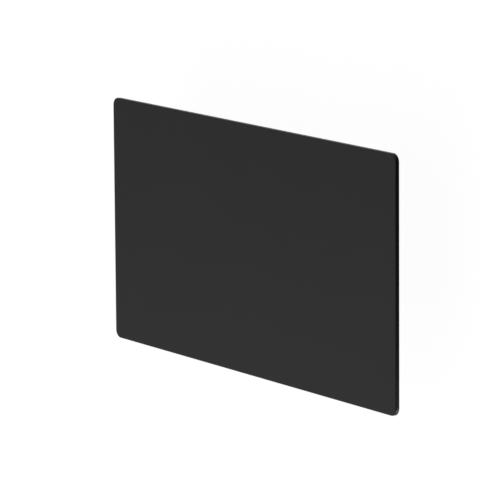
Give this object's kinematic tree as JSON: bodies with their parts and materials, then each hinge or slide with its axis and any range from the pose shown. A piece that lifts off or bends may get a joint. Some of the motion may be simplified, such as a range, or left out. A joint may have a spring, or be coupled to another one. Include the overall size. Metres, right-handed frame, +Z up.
{
  "type": "fence post cap",
  "caption": "Flat black cap for a rectangular steel fence post, held by spring clips under its plate, with a foam rain seal.",
  "frame": {"origin": "middle of the plate's underside, on the post's centre line", "axes": "+Z up through the plate, away from the post; +X along the plate's long side; +Y across it"},
  "size_m": [0.122, 0.062, 0.0161],
  "materials": {
    "black_coat": "satin",
    "foam": "matte",
    "spring_steel": "satin",
    "copper_flash": "satin",
    "zinc": "satin",
    "nylon": "satin"
  },
  "bodies": {
    "cap": {"cap_plate": "black_coat", "seal_tape_front": "foam", "seal_tape_back": "foam", "seal_tape_left": "foam", "seal_tape_right": "foam", "locating_pins_left": "copper_flash", "locating_pins_right": "copper_flash", "weld_studs_left": "copper_flash", "weld_studs_right": "copper_flash", "clip_bridge_left": "spring_steel", "clip_bridge_right": "spring_steel", "washers_left": "zinc", "washers_right": "zinc", "lock_nuts_left": "zinc", "lock_nuts_right": "zinc", "nut_rings_left": "nylon", "nut_rings_right": "nylon"},
    "leg_left_front": {"clip_leg_left_front": "spring_steel"},
    "leg_left_back": {"clip_leg_left_back": "spring_steel"},
    "leg_right_front": {"clip_leg_right_front": "spring_steel"},
    "leg_right_back": {"clip_leg_right_back": "spring_steel"}
  },
  "joints": [
    {"name": "leg_left_front_flex", "type": "hinge", "parent": "cap", "child": "leg_left_front", "pos_m": [-0.026, -0.02429, -0.00196], "axis": [1, 0, 0], "range_deg": [0, 10], "stiffness_Nm_per_rad": 2.4},
    {"name": "leg_left_back_flex", "type": "hinge", "parent": "cap", "child": "leg_left_back", "pos_m": [-0.026, 0.02429, -0.00196], "axis": [-1, 0, 0], "range_deg": [0, 10], "stiffness_Nm_per_rad": 2.4},
    {"name": "leg_right_front_flex", "type": "hinge", "parent": "cap", "child": "leg_right_front", "pos_m": [0.026, -0.02429, -0.00196], "axis": [1, 0, 0], "range_deg": [0, 10], "stiffness_Nm_per_rad": 2.4},
    {"name": "leg_right_back_flex", "type": "hinge", "parent": "cap", "child": "leg_right_back", "pos_m": [0.026, 0.02429, -0.00196], "axis": [-1, 0, 0], "range_deg": [0, 10], "stiffness_Nm_per_rad": 2.4}
  ]
}
